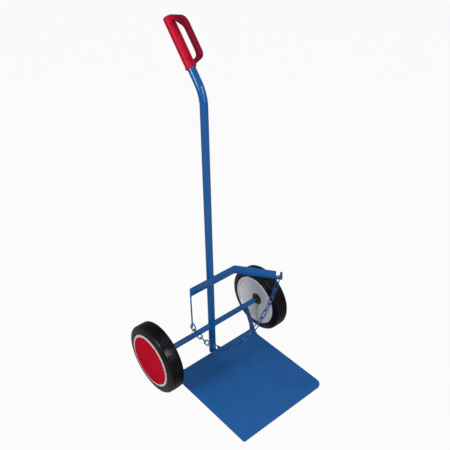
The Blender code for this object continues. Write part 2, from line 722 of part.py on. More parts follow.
start = Vector((-CHAIN_SPAN / 2 - first_slip, 0, WIRE_STEP))
start += Vector((math.cos(dips[0]), 0, math.sin(dips[0]))) * WIRE_STEP / 2
for i, dip in enumerate(dips):
    along = Vector((math.cos(dip), 0, math.sin(dip)))
    piece = link("chain_link_%02d" % (i + 1), i % 2 == 1)
    piece.parent = swing
    piece.rotation_euler = (0, -dip, 0)
    piece.location = start + along * step_length / 2
    start += along * step_length
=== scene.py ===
"""Looks of a gas cylinder cart, dressed over its solid frame.

Metres, +Z up, the toe plate towards -Y, both wheels turning on lines along X.
"""

import json
import math

import bmesh
import bpy
from mathutils import Matrix, Vector


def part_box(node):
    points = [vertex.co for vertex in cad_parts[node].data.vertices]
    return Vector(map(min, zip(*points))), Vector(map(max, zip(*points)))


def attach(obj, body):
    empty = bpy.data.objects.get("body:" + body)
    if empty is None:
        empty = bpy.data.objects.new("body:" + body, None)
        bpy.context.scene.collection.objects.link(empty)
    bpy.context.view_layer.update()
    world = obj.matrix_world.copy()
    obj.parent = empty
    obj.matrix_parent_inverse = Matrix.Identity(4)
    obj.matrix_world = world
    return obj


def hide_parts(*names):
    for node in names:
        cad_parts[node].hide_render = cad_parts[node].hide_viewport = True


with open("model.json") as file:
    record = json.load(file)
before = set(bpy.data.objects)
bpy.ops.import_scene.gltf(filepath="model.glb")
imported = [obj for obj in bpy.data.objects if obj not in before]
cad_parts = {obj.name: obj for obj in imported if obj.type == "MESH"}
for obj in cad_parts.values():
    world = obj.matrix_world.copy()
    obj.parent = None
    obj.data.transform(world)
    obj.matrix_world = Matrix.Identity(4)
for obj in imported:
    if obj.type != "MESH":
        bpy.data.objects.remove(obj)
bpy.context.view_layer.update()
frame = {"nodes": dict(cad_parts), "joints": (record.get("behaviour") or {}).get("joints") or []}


# Mast
# A round steel tube, bent back near its top so that the grip meets the hand.
# It stands in a notch of the toe plate, is welded there and sprayed with blue enamel.

fit_gap = 0.0003
tube_radius = 0.0125
tube_wall = 0.002
tube_y = -0.0027
tube_sides = 48
knee_height = 0.999
lean = math.radians(39.0)
bend_radius = 0.110
bend_steps = 28
top_run = 0.234
sharp_angle = math.radians(40.0)

leg = Vector((0.0, math.sin(lean), math.cos(lean)))
knee = Vector((0.0, tube_y, knee_height))
mast_top = knee + leg * top_run
bend_middle = knee + Vector((0.0, bend_radius, -bend_radius * math.tan(lean / 2)))
mast_path = [Vector((0.0, tube_y, fit_gap))]
for step in range(bend_steps + 1):
    turn = lean * step / bend_steps
    mast_path.append(bend_middle + bend_radius * Vector((0.0, -math.cos(turn), math.sin(turn))))
mast_path.append(mast_top)


def add(tree, kind, inputs=None, **settings):
    """Add a node, set its properties and feed its inputs from values or from other sockets."""
    node = tree.nodes.new(kind)
    for key, value in settings.items():
        setattr(node, key, value)
    for key, value in (inputs or {}).items():
        if isinstance(value, bpy.types.NodeSocket):
            tree.links.new(value, node.inputs[key])
        else:
            node.inputs[key].default_value = value
    return node


def noise(tree, scale, low, high, detail=3.0, stretch=(1.0, 1.0, 1.0)):
    """Soft noise on the piece's own coordinates, spread between two values."""
    place = add(tree, "ShaderNodeTexCoord").outputs["Object"]
    spot = add(tree, "ShaderNodeMapping", {"Vector": place, "Scale": stretch}).outputs[0]
    cloud = add(tree, "ShaderNodeTexNoise", {"Vector": spot, "Scale": scale, "Detail": detail})
    ends = {"From Min": 0.3, "From Max": 0.7, "To Min": low, "To Max": high}
    return add(tree, "ShaderNodeMapRange", {"Value": cloud.outputs[0], **ends}).outputs["Result"]


def shades(tree, factor, deep, bright):
    """A colour that wanders between two shades."""
    ramp = add(tree, "ShaderNodeValToRGB", {"Fac": factor})
    ramp.color_ramp.elements[0].color = (*deep, 1.0)
    ramp.color_ramp.elements[1].color = (*bright, 1.0)
    return ramp.outputs["Color"]


def surface(material):
    """The node tree of a material, and its shader."""
    return material.node_tree, material.node_tree.nodes["Principled BSDF"]


def finish(name, deep, bright, blotch, rough, dimple, depth, specular=0.5):
    """A material with a wandering shade, a finer uneven gloss and a low relief of dimples."""
    made = bpy.data.materials.new(name)
    made.use_nodes = True
    tree, shader = surface(made)
    finer = 2.3
    colour = shades(tree, noise(tree, blotch, 0.0, 1.0), deep, bright)
    gloss = noise(tree, finer * blotch, *rough, detail=5.0)
    relief = noise(tree, dimple, 0.0, 1.0, detail=1.0)
    bump = add(tree, "ShaderNodeBump", {"Height": relief, "Strength": 0.5, "Distance": depth})
    tree.links.new(colour, shader.inputs["Base Color"])
    tree.links.new(gloss, shader.inputs["Roughness"])
    tree.links.new(bump.outputs["Normal"], shader.inputs["Normal"])
    shader.inputs["Specular IOR Level"].default_value = specular
    return made


enamel_deep = (0.0030, 0.076, 0.256)
enamel_bright = (0.0055, 0.088, 0.292)
enamel_rough = (0.13, 0.15)
enamel_specular = 0.45


def blue_enamel(
    name, deep=enamel_deep, bright=enamel_bright, rough=enamel_rough, specular=enamel_specular
):
    """Sprayed blue enamel with the orange peel that a spray gun leaves."""
    return finish(
        name,
        deep,
        bright,
        blotch=14.0,
        rough=rough,
        dimple=620.0,
        depth=0.000002,
        specular=specular,
    )


def chain_of_edges(name, *paths):
    """A mesh of bare edges, one run of edges for each path of points."""
    mesh = bpy.data.meshes.new(name)
    points = [point for path in paths for point in path]
    edges = []
    first = 0
    for path in paths:
        edges.extend((first + i, first + i + 1) for i in range(len(path) - 1))
        first += len(path)
    mesh.from_pydata(points, edges, [])
    return mesh


def node_tree(name, sockets):
    """A new geometry tree with named inputs, and the sockets of its two ends."""
    tree = bpy.data.node_groups.new(name, "GeometryNodeTree")
    tree.interface.new_socket("Path", in_out="INPUT", socket_type="NodeSocketGeometry")
    for key, kind in sockets.items():
        tree.interface.new_socket(key, in_out="INPUT", socket_type=kind)
    tree.interface.new_socket("Piece", in_out="OUTPUT", socket_type="NodeSocketGeometry")
    return tree, add(tree, "NodeGroupInput").outputs, add(tree, "NodeGroupOutput").inputs


def end_tree(tree, geometry, given, out):
    """Make the instances real, shade them smooth and paint them."""
    real = add(tree, "GeometryNodeRealizeInstances", {"Geometry": geometry}).outputs[0]
    smooth = add(tree, "GeometryNodeSetShadeSmooth", {"Geometry": real}).outputs[0]
    paint = {"Geometry": smooth, "Material": given["Finish"]}
    painted = add(tree, "GeometryNodeSetMaterial", paint)
    tree.links.new(painted.outputs[0], out["Piece"])


def in_scene(name, data):
    """A new object in the scene that holds this data."""
    made = bpy.data.objects.new(name, data)
    bpy.context.scene.collection.objects.link(made)
    return made


def kept(source):
    """The plain mesh of an object as its modifiers leave it. The object goes."""
    bpy.context.view_layer.update()
    graph = bpy.context.evaluated_depsgraph_get()
    mesh = bpy.data.meshes.new_from_object(source.evaluated_get(graph))
    bpy.data.objects.remove(source, do_unlink=True)
    return mesh


def grown(mesh, tree, values):
    """Run a geometry tree on a mesh, its inputs set by identifier, and keep the plain mesh."""
    source = in_scene(mesh.name + "_source", mesh)
    nodes = source.modifiers.new("nodes", "NODES")
    nodes.node_group = tree
    for socket in tree.interface.items_tree:
        if socket.name in values:
            nodes[socket.identifier] = values[socket.name]
    return kept(source)


def fitted(name, mesh, material, body, slot, *nodes):
    """Put a finished mesh on its body in place of the plain solids."""
    made = in_scene(name, mesh)
    mesh.materials.clear()
    mesh.materials.append(material)
    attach(made, body)
    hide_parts(*nodes)


tube_tree, given, out = node_tree(
    "swept_tube",
    {"Radius": "NodeSocketFloat", "Sides": "NodeSocketInt", "Finish": "NodeSocketMaterial"},
)
line = add(tube_tree, "GeometryNodeMeshToCurve", {"Mesh": given["Path"]})
section = add(
    tube_tree,
    "GeometryNodeCurvePrimitiveCircle",
    {"Resolution": given["Sides"], "Radius": given["Radius"]},
)
wall = add(
    tube_tree,
    "GeometryNodeCurveToMesh",
    {"Curve": line.outputs[0], "Profile Curve": section.outputs[0]},
)
end_tree(tube_tree, wall.outputs[0], given, out)

frame_enamel = blue_enamel("frame_enamel")
tube_mesh = grown(
    chain_of_edges("mast_line", mast_path),
    tube_tree,
    {"Radius": tube_radius, "Sides": tube_sides, "Finish": frame_enamel},
)
tube_source = in_scene("tube_source", tube_mesh)
hollow = tube_source.modifiers.new("wall", "SOLIDIFY")
hollow.thickness = tube_wall
hollow.offset = -1.0
mast_mesh = kept(tube_source)
mast_mesh.set_sharp_from_angle(angle=sharp_angle)
fitted("mast", mast_mesh, frame_enamel, "frame", "frame_paint", "mast_tube")


# Toe plate
# A flat sheet of 4 mm steel that the cylinder stands on, cut with one square and one round corner.
# Its edges are broken by a file, and its enamel is dulled by fine scratches and a film of dust.

plate_low, plate_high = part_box("toe_plate")
plate_left_corner = 0.006
plate_right_corner = 0.026
plate_back_corner = 0.003
plate_edge = 0.0007
edge_segments = 3
corner_steps = 8
notch_radius = tube_radius + fit_gap
notch_steps = 16


def rounded(corners, steps=corner_steps):
    """Replace each (x, y, radius) corner by an arc, and leave a radius of 0 sharp."""
    loop = []
    for i, (x, y, radius) in enumerate(corners):
        here = Vector((x, y))
        if radius == 0:
            loop.append(here)
            continue
        before = (Vector(corners[i - 1][:2]) - here).normalized()
        after = (Vector(corners[(i + 1) % len(corners)][:2]) - here).normalized()
        half = before.angle(after) / 2
        centre = here + (before + after).normalized() * radius / math.sin(half)
        start = here + before * radius / math.tan(half) - centre
        turn = start.angle_signed(here + after * radius / math.tan(half) - centre)
        for step in range(steps + 1):
            loop.append(centre + Matrix.Rotation(-turn * step / steps, 2) @ start)
    return loop


def arc(middle, radius, start, sweep, steps):
    """Points along an arc, both ends included."""
    turns = [start + sweep * step / steps for step in range(steps + 1)]
    return [Vector(middle) + radius * Vector((math.cos(turn), math.sin(turn))) for turn in turns]


def slab(name, loop, low, high):
    """A flat piece with this outline, between two heights along Z."""
    shape = bmesh.new()
    face = shape.faces.new([shape.verts.new((x, y, low)) for x, y in loop])
    raised = bmesh.ops.extrude_face_region(shape, geom=[face])["geom"]
    corners = [corner for corner in raised if isinstance(corner, bmesh.types.BMVert)]
    bmesh.ops.translate(shape, verts=corners, vec=(0.0, 0.0, high - low))
    bmesh.ops.recalc_face_normals(shape, faces=shape.faces)
    mesh = bpy.data.meshes.new(name)
    shape.to_mesh(mesh)
    shape.free()
    return mesh


def softened(mesh, width):
    """Round the sharp edges of a mesh and shade the rounds smooth."""
    source = in_scene(mesh.name + "_source", mesh)
    round_edge = source.modifiers.new("edge", "BEVEL")
    round_edge.width = width
    round_edge.segments = edge_segments
    round_edge.limit_method = "ANGLE"
    round_edge.angle_limit = sharp_angle
    round_edge.use_clamp_overlap = True
    made = kept(source)
    made.shade_smooth()
    made.set_sharp_from_angle(angle=sharp_angle)
    return made


def reckon(tree, operation, *terms):
    """One step of arithmetic on values or sockets."""
    return add(tree, "ShaderNodeMath", dict(enumerate(terms)), operation=operation).outputs[0]


def overlaid(material, share, colour):
    """Lay a second colour over a finish, by the share that a socket gives."""
    tree, shader = surface(material)
    under = shader.inputs["Base Color"].links[0].from_socket
    layers = {"Fac": share, "Color1": under, "Color2": (*colour, 1.0)}
    mixed = add(tree, "ShaderNodeMixRGB", layers)
    tree.links.new(mixed.outputs[0], shader.inputs["Base Color"])


plate_loop = rounded(
    [
        (plate_high.x, plate_high.y, plate_back_corner),
        (plate_high.x, plate_low.y, plate_right_corner),
        (plate_low.x, plate_low.y, plate_left_corner),
        (plate_low.x, plate_high.y, plate_back_corner),
    ]
)
notch_reach = math.asin((tube_y - plate_high.y) / notch_radius)
notch_start = math.pi + notch_reach
notch_sweep = math.pi - 2 * notch_reach
plate_loop += arc((0.0, tube_y), notch_radius, notch_start, notch_sweep, notch_steps)

plate_specular = 0.15
plate_dulling = 0.2
scratch_dulling = 0.3
dust_colour = (0.42, 0.40, 0.36)
plate_enamel = blue_enamel("plate_enamel", specular=plate_specular)
tree, shader = surface(plate_enamel)
scratch = noise(tree, scale=260.0, low=-2.6, high=1.0, detail=2.0, stretch=(1.0, 0.03, 1.0))
worn = add(tree, "ShaderNodeClamp", {"Value": scratch}).outputs[0]
scuffs = reckon(tree, "MULTIPLY", worn, noise(tree, scale=9.0, low=0.0, high=0.6))
gloss = shader.inputs["Roughness"].links[0].from_socket
scuffed = reckon(tree, "MULTIPLY_ADD", scuffs, scratch_dulling, gloss)
tree.links.new(reckon(tree, "ADD", scuffed, plate_dulling), shader.inputs["Roughness"])
overlaid(plate_enamel, noise(tree, scale=11.0, low=0.020, high=0.030), dust_colour)

plate_mesh = softened(slab("plate", plate_loop, plate_low.z, plate_high.z), plate_edge)
fitted("plate", plate_mesh, plate_enamel, "frame", "frame_paint", "toe_plate")


# Axle
# A round steel bar in two halves, coped and welded to the mast on either side.
# Each half is turned down beyond a shoulder to the stub that its wheel runs on.

both_sides = ((-1, "left"), (1, "right"))
axle_radius = 0.010
stub_radius = 0.008
stub_reach = 0.020
axle_start = 0.0085
axle_chamfer = 0.0008
neck_end = 0.0305
turned_steps = 64
turned_corner_steps = 5
turned_sharp_angle = math.radians(35.0)
merge_distance = 1e-6
sliver_length = 1e-7
hubs = {joint["child"]: Vector(joint["pos_m"]) for joint in frame["joints"]}
axle_height = hubs["left_wheel"].z
axle_shoulder = hubs["right_wheel"].x - (neck_end + fit_gap)
stub_end = hubs["right_wheel"].x + stub_reach


def turned(name, profile, place, side, steps=turned_steps):
    """Turn a profile of (x, radius, corner) about a line along X. A side of -1 mirrors it."""
    shape = bmesh.new()
    outline = rounded(profile, steps=turned_corner_steps)
    ring = [shape.verts.new((side * x, 0.0, radius)) for x, radius in outline]
    edges = [shape.edges.new(pair) for pair in zip(ring, ring[1:] + ring[:1])]
    bmesh.ops.spin(
        shape,
        geom=ring + edges,
        cent=(0, 0, 0),
        axis=(1, 0, 0),
        angle=math.tau,
        steps=steps,
        use_merge=True,
    )
    bmesh.ops.remove_doubles(shape, verts=shape.verts, dist=merge_distance)
    bmesh.ops.dissolve_degenerate(shape, edges=shape.edges, dist=sliver_length)
    bmesh.ops.recalc_face_normals(shape, faces=shape.faces)
    bmesh.ops.translate(shape, verts=shape.verts, vec=place)
    mesh = bpy.data.meshes.new(name)
    shape.to_mesh(mesh)
    shape.free()
    mesh.shade_smooth()
    mesh.set_sharp_from_angle(angle=turned_sharp_angle)
    return mesh


axle_profile = [
    (axle_start, 0.0, 0),
    (axle_start, axle_radius, 0),
    (axle_shoulder, axle_radius, axle_chamfer),
    (axle_shoulder, stub_radius, 0),
    (stub_end, stub_radius, axle_chamfer),
    (stub_end, 0.0, 0),
]
for side, word in both_sides:
    bar = turned(word + "_axle_bar", axle_profile, (0.0, 0.0, axle_height), side)
    fitted(word + "_axle_bar", bar, frame_enamel, "frame", "frame_paint", word + "_axle")


# Stays
# Strips of 5 mm flat steel cut with a flared foot, one at each back corner of the plate.
# They lean in to the axle, which sits in a saddle cut in their tops, and are welded at both ends.

stay_thickness = 0.005
stay_foot_x = 0.180
stay_top_x = 0.168
stay_edge = 0.0006
stay_inset = 0.001
stay_foot_depth = 0.028
stay_top_width = 0.022
stay_foot_flare = 0.012
stay_toe = 0.0015
stay_knee = 0.030
stay_back_taper = 0.001
stay_back_curve = 0.020
stay_front_taper = 0.002
stay_front_curve = 0.040
saddle_radius = axle_radius + fit_gap
saddle_depth = 0.0022
saddle_steps = 12

stay_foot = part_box("right_stay")[0].z
stay_top = axle_height - axle_radius + saddle_depth
stay_back = plate_high.y - stay_inset
stay_front = stay_back - stay_foot_depth
half_top = stay_top_width / 2
saddle_half = math.acos((axle_height - stay_top) / saddle_radius)


def under_axle(radius, half):
    """Points (y, z) round the underside of the axle, from behind it to its front."""
    turns = [half * (1 - 2 * step / saddle_steps) for step in range(saddle_steps + 1)]
    return [(radius * math.sin(turn), axle_height - radius * math.cos(turn)) for turn in turns]


stay_loop = rounded(
    [
        (stay_back, stay_foot, 0),
        (stay_back - stay_back_taper, stay_foot + stay_knee, stay_back_curve),
        (half_top, stay_top, 0),
        *((y, z, 0) for y, z in under_axle(saddle_radius, saddle_half)),
        (-half_top, stay_top, 0),
        (stay_front + stay_front_taper, stay_foot + stay_knee, stay_front_curve),
        (stay_front - stay_front_taper, stay_foot + stay_foot_flare, stay_foot_flare),
        (stay_front - stay_foot_flare, stay_foot + stay_toe, 0),
        (stay_front - stay_foot_flare, stay_foot, 0),
    ]
)
upright = Matrix(((0, 0, 1, 0), (1, 0, 0, 0), (0, 1, 0, 0), (0, 0, 0, 1)))
for side, word in both_sides:
    strip_slab = slab(word + "_strip", stay_loop, -stay_thickness / 2, stay_thickness / 2)
    strip = softened(strip_slab, stay_edge)
    slant = side * (stay_top_x - stay_foot_x) / (stay_top - stay_foot)
    shear = Matrix.Identity(4)
    shear[0][2] = slant
    shear[0][3] = side * stay_foot_x - slant * stay_foot
    strip.transform(shear @ upright)
    fitted(word + "_strip", strip, frame_enamel, "frame", "frame_paint", word + "_stay")


# Cradle bar
# One flat bar of 32 by 5 mm, bent to a tray shape that the cylinder leans into.
# The left arm has a drilled eye for the chain, the right arm a hook left by a slot sawn from above.

cradle_low, cradle_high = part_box("cradle_bar")
bar_thickness = 0.005
bar_edge = 0.0006
bar_y = -0.018
bend_x = 0.097
splay = math.radians(35.5)
inner_bend = 0.008
left_reach = 0.145
right_reach = 0.154
eye_radius = 0.005
eye_edge = 0.003
slot_half = 0.0065
slot_floor = 0.009
hook_tip = 0.009
hook_drop = 0.0003
cut_margin = 0.010
round_steps = 24

along = Vector((math.sin(splay), -math.cos(splay)))
half_bar = bar_thickness / 2
mitre = half_bar * math.tan((math.pi / 2 - splay) / 2)
out_side = Vector((math.cos(splay), math.sin(splay))) * half_bar
bend_point = Vector((bend_x, bar_y))
right_end = bend_point + along * (right_reach + slot_half + hook_tip)
left_end = bend_point + along * (left_reach + eye_radius + eye_edge)
cradle_loop = rounded(
    [
        (bend_x + mitre, bar_y + half_bar, inner_bend + bar_thickness),
        (*(right_end + out_side), 0),
        (*(right_end - out_side), 0),
        (bend_x - mitre, bar_y - half_bar, inner_bend),
        (-bend_x + mitre, bar_y - half_bar, inner_bend),
        (-left_end.x + out_side.x, left_end.y - out_side.y, 0),
        (-left_end.x - out_side.x, left_end.y + out_side.y, 0),
        (-bend_x - mitre, bar_y + half_bar, inner_bend + bar_thickness),
    ]
)

eye_height = cradle_low.z + eye_edge + eye_radius
slot_height = cradle_low.z + slot_floor + slot_half
bar_top = cradle_high.z - slot_height
tip_radius = hook_tip / 2
tip_middle = (slot_half + tip_radius, bar_top - hook_drop - tip_radius)
past_end = slot_half + hook_tip + cut_margin
past_top = bar_top + cut_margin
slot_loop = [
    Vector((-slot_half, past_top)),
    *arc((0.0, 0.0), slot_half, math.pi, math.pi, round_steps),
    *arc(tip_middle, tip_radius, math.pi, -math.pi, round_steps),
    Vector((past_end, tip_middle[1])),
    Vector((past_end, past_top)),
]
eye_loop = arc((0.0, 0.0), eye_radius, 0.0, math.tau, round_steps)[:-1]


def cut_through(target, loop, at, height, direction):
    """Cut an outline through an arm of the bar, square to its face."""
    cutter = slab(target.name + "_cut", loop, -2 * bar_thickness, 2 * bar_thickness)
    across = Vector((direction.y, -direction.x))
    cutter.transform(
        Matrix(
            (
                (direction.x, 0, across.x, at.x),
                (direction.y, 0, across.y, at.y),
                (0, 1, 0, height),
                (0, 0, 0, 1),
            )
        )
    )
    tool = in_scene(cutter.name, cutter)
    saw = target.modifiers.new("saw", "BOOLEAN")
    saw.solver = "EXACT"
    saw.object = tool
    return tool


bar_slab = slab("bar_blank", cradle_loop, cradle_low.z, cradle_high.z)
bar_blank = in_scene("bar_blank", bar_slab)
mirrored = Vector((-along.x, along.y))
left_eye = Vector((-bend_x, bar_y)) + left_reach * mirrored
right_slot = bend_point + right_reach * along
tools = [
    cut_through(bar_blank, slot_loop, right_slot, slot_height, along),
    cut_through(bar_blank, eye_loop, left_eye, eye_height, mirrored),
]
bar_mesh = kept(bar_blank)
for tool in tools:
    bpy.data.objects.remove(tool, do_unlink=True)
fitted("cradle", softened(bar_mesh, bar_edge), frame_enamel, "frame", "frame_paint", "cradle_bar")


# Welds
# Short beads of weld metal laid by hand at every joint of the frame and sprayed with the rest.
# Each is a row of overlapping ripples, and one drop of spatter stayed on the right arm's top edge.

bead_radius = 0.0019
bead_pitch = 0.0013
bead_seed = 7
bead_out = 0.4 * bead_radius
bead_up = 0.2 * bead_radius
bead_sink = 0.0004
bar_seam_x = 0.0068
bar_seam_out = 0.0012
saddle_seam_half = 0.62
root_back_inset = 0.003
root_front_reach = 0.008
spatter_reach = 0.053
spatter_length = 0.003

foot_arc = arc((0.0, tube_y), tube_radius + bead_out, notch_start, notch_sweep, notch_steps)
seams = [[(x, y, plate_high.z + bead_up) for x, y in foot_arc]]
bar_back = bar_y + half_bar
for side in (-1, 1):
    seam_x = side * bar_seam_x
    seam_y = bar_back + bar_seam_out
    seams.append([(seam_x, seam_y, cradle_low.z), (seam_x, seam_y, cradle_high.z)])
    collar = []
    for y, z in arc((0.0, axle_height), axle_radius, 0.0, math.tau, round_steps):
        tube_reach = math.sqrt(max(tube_radius**2 - (y - tube_y) ** 2, 0.0))
        collar.append((side * (tube_reach + bead_out), y, z))
    seams.append(collar)
    for face in (-1, 1):
        cheek = side * stay_top_x + face * stay_thickness / 2
        seams.append([(cheek, y, z) for y, z in under_axle(axle_radius, saddle_seam_half)])
        root = side * stay_foot_x + face * stay_thickness / 2
        root_back = (root, stay_back - root_back_inset, stay_foot)
        root_front = (root, stay_front - root_front_reach, stay_foot)
        seams.append([root_back, root_front])
for edge in (cradle_low.z, cradle_high.z):
    seam_y = bar_back - bead_sink
    seams.append([(-bar_seam_x, seam_y, edge), (bar_seam_x, seam_y, edge)])
spatter = bend_point + along * spatter_reach
spatter_end = spatter + along * spatter_length
spatter_z = cradle_high.z - bead_sink
seams.append([(*spatter, spatter_z), (*spatter_end, spatter_z)])

bead_tree, given, out = node_tree(
    "weld_bead",
    {
        "Bead radius": "NodeSocketFloat",
        "Ripple pitch": "NodeSocketFloat",
        "Seed": "NodeSocketInt",
        "Finish": "NodeSocketMaterial",
    },
)
line = add(bead_tree, "GeometryNodeMeshToCurve", {"Mesh": given["Path"]})
spots = add(
    bead_tree,
    "GeometryNodeCurveToPoints",
    {"Curve": line.outputs[0], "Length": given["Ripple pitch"]},
    mode="LENGTH",
)
ripple = add(
    bead_tree,
    "GeometryNodeMeshUVSphere",
    {"Segments": 10, "Rings": 7, "Radius": given["Bead radius"]},
)
uneven = add(
    bead_tree,
    "FunctionNodeRandomValue",
    {"Min": (0.85, 0.85, 0.85), "Max": (1.12, 1.12, 1.12), "Seed": given["Seed"]},
    data_type="FLOAT_VECTOR",
)
laid = add(
    bead_tree,
    "GeometryNodeInstanceOnPoints",
    {
        "Points": spots.outputs["Points"],
        "Instance": ripple.outputs["Mesh"],
        "Rotation": spots.outputs["Rotation"],
        "Scale": uneven.outputs["Value"],
    },
)
end_tree(bead_tree, laid.outputs[0], given, out)
weld_enamel = blue_enamel("weld_enamel", rough=(0.1, 0.16), specular=0.6)
bead_mesh = grown(
    chain_of_edges("weld_seams", *seams),
    bead_tree,
    {
        "Bead radius": bead_radius,
        "Ripple pitch": bead_pitch,
        "Seed": bead_seed,
        "Finish": weld_enamel,
    },
)
fitted("weld_beads", bead_mesh, weld_enamel, "frame", "frame_paint")


# Hand grip
# A red plastic moulding pushed over the mast's end: a sleeve for the palm, with a collar at its
# foot, and a broad strap that runs from the foot to the crest and guards the knuckles.

grip_radius = 0.0158
grip_length = 0.160
grip_end_wall = 0.008
grip_top_round = 0.0052
collar_raise = 0.0015
collar_length = 0.006
collar_edge = 0.001
guard_reach = 0.0755
guard_strip = 0.0195
guard_foot = 0.0125
guard_width = 0.0135
guard_edge = 0.003
guard_edge_steps = 4
guard_inset = 0.001
guard_heel_round = 0.018
guard_shoulder = 0.124
guard_shoulder_round = 0.040
guard_crest = 0.0142
guard_crest_round = 0.010
guard_top = 0.024
guard_root = 0.021
hole_start = 0.006
hole_heel_round = 0.012
hole_shoulder_round = 0.030
hole_crest = 0.0245
hole_crest_round = 0.006
grip_voxel = 0.0007
grip_smooth = 14
grip_ease = 0.5

grip_foot = mast_top + leg * (fit_gap + grip_end_wall - grip_length)
grip_frame = Matrix.Translation(grip_foot) @ Matrix.Rotation(-lean, 4, "X")
collar_radius = grip_radius + collar_raise
sleeve_profile = [
    (0.0, 0.0, 0),
    (0.0, collar_radius, collar_edge),
    (collar_length, collar_radius, collar_edge),
    (collar_length + collar_edge, grip_radius, 0),
    (grip_length, grip_radius, grip_top_round),
    (grip_length, 0.0, 0),
]
sleeve = turned("sleeve", sleeve_profile, (0.0, 0.0, 0.0), 1)
sleeve.transform(grip_frame @ Matrix.Rotation(-math.pi / 2, 4, "Y"))
guard_end = grip_length - guard_inset
guard_outer = rounded(
    [
        (0.0, guard_inset, 0),
        (-guard_reach, guard_inset, guard_heel_round),
        (-guard_reach, guard_shoulder, guard_shoulder_round),
        (-guard_crest, guard_end, guard_crest_round),
        (0.0, guard_end, 0),
    ]
)
hole_foot = guard_foot + guard_inset
hole_end = grip_length - guard_root
hole_reach = -guard_reach + guard_strip
guard_hole = rounded(
    [
        (-hole_start, hole_foot, 0),
        (hole_reach, hole_foot, hole_heel_round),
        (hole_reach, guard_shoulder - guard_top, hole_shoulder_round),
        (-hole_crest, hole_end, hole_crest_round),
        (-hole_start, hole_end, 0),
    ]
)
guard_line = bpy.data.curves.new("guard", "CURVE")
guard_line.dimensions = "2D"
guard_line.fill_mode = "BOTH"
guard_line.extrude = guard_width / 2 - guard_edge
guard_line.bevel_depth = guard_edge
guard_line.bevel_resolution = guard_edge_steps
guard_line.offset = -guard_edge
for loop in (guard_outer, guard_hole):
    spline = guard_line.splines.new("POLY")
    spline.points.add(len(loop) - 1)
    for point, (x, y) in zip(spline.points, loop):
        point.co = (x, y, 0.0, 1.0)
    spline.use_cyclic_u = True
guard = kept(in_scene("guard", guard_line))
guard.transform(grip_frame @ upright)
moulding = bmesh.new()
moulding.from_mesh(sleeve)
moulding.from_mesh(guard)
bmesh.ops.remove_doubles(moulding, verts=moulding.verts, dist=merge_distance)
grip_mesh = bpy.data.meshes.new("grip")
moulding.to_mesh(grip_mesh)
moulding.free()
grip_source = in_scene("grip_source", grip_mesh)
melt = grip_source.modifiers.new("melt", "REMESH")
melt.mode = "VOXEL"
melt.voxel_size = grip_voxel
melt.use_smooth_shade = True
ease = grip_source.modifiers.new("ease", "SMOOTH")
ease.iterations = grip_smooth
ease.factor = grip_ease
grip_mesh = kept(grip_source)

# The strap is painted a deeper red that fades in with distance from the sleeve's axis: painted
# shade for the strap's side faces.
strap_start = 1.5 * grip_radius
strap_fade = 0.025
strap_shade_red = (0.180, 0.0034, 0.019)
strap_shade_share = grip_mesh.attributes.new("strap", "FLOAT", "POINT")
for i, corner in enumerate(grip_mesh.vertices):
    aside = (corner.co - grip_foot).cross(leg).length
    strap_shade_share.data[i].value = min(max((aside - strap_start) / strap_fade, 0.0), 1.0)

grip_red = finish(
    "grip_red",
    deep=(0.45, 0.0047, 0.027),
    bright=(0.51, 0.0060, 0.033),
    blotch=30.0,
    rough=(0.28, 0.32),
    dimple=1500.0,
    depth=0.000004,
    specular=0.07,
)
on_strap_shade = add(grip_red.node_tree, "ShaderNodeAttribute", attribute_name="strap")
overlaid(grip_red, on_strap_shade.outputs["Fac"], strap_shade_red)
fitted("grip", grip_mesh, grip_red, "frame", "grip_plastic", "hand_grip")


# Rims
# Light grey plastic wheel bodies, moulded with a raised lip on each side that holds the tyre.
# The inner face is a shallow dish that falls to the hub, the outer face is open for a cap.

rim_radius = 0.0965
rim_half = 0.030
rim_wall = 0.005
lip_height = 0.003
lip_thickness = 0.0025
lip_round = 0.001
lip_edge = 0.0006
cap_recess = 0.004
cap_ledge_width = 0.0025
dish_start = 0.005
dish_depth = 0.015
dish_draft = 0.001
dish_mouth_round = 0.0015
dish_edge_round = 0.0022
dish_floor_round = 0.003
web = 0.005
web_slope = 0.004
web_inner_round = 0.002
web_outer_round = 0.003
boss_radius = 0.028
boss_end = 0.011
boss_edge = 0.001
bush_radius = 0.0145
wheel_steps = 144

seat_radius = rim_radius - lip_height
seat_half = rim_half - lip_thickness
cap_hole = seat_radius - rim_wall
cap_seat = rim_half - cap_recess
cap_ledge = cap_hole - cap_ledge_width
flange_face = rim_half - dish_depth
rim_profile = [
    (rim_half, cap_hole, lip_edge),
    (rim_half, rim_radius, lip_round),
    (seat_half, rim_radius, lip_edge),
    (seat_half, seat_radius, 0),
    (-seat_half, seat_radius, 0),
    (-seat_half, rim_radius, lip_edge),
    (-rim_half, rim_radius, lip_round),
    (-rim_half, cap_hole, dish_mouth_round),
    (dish_start - rim_half, cap_hole - dish_draft, dish_edge_round),
    (-flange_face, boss_radius, dish_floor_round),
    (-flange_face, bush_radius, 0),
    (boss_end, bush_radius, 0),
    (boss_end, boss_radius - web_slope, boss_edge),
    (web + web_slope - flange_face, boss_radius, web_inner_round),
    (dish_start + web - rim_half, cap_ledge - web_slope, web_outer_round),
    (dish_start + web + web_slope - rim_half, cap_ledge, 0),
    (cap_seat, cap_ledge, 0),
    (cap_seat, cap_hole, 0),
]


def on_wheels(part, profile, material, slot, node, steps=wheel_steps):
    """Turn a piece about both hubs and fit it to each wheel in place of the plain solid."""
    for side, word in both_sides:
        body = word + "_wheel"
        piece = turned(word + part, profile, hubs[body], side, steps)
        fitted(word + part, piece, material, body, slot, word + node)


rim_grey = finish(
    "rim_grey",
    deep=(0.61, 0.60, 0.64),
    bright=(0.68, 0.67, 0.71),
    blotch=26.0,
    rough=(0.36, 0.5),
    dimple=900.0,
    depth=0.00005,
)
on_wheels("_disc", rim_profile, rim_grey, "rim_plastic", "_rim")


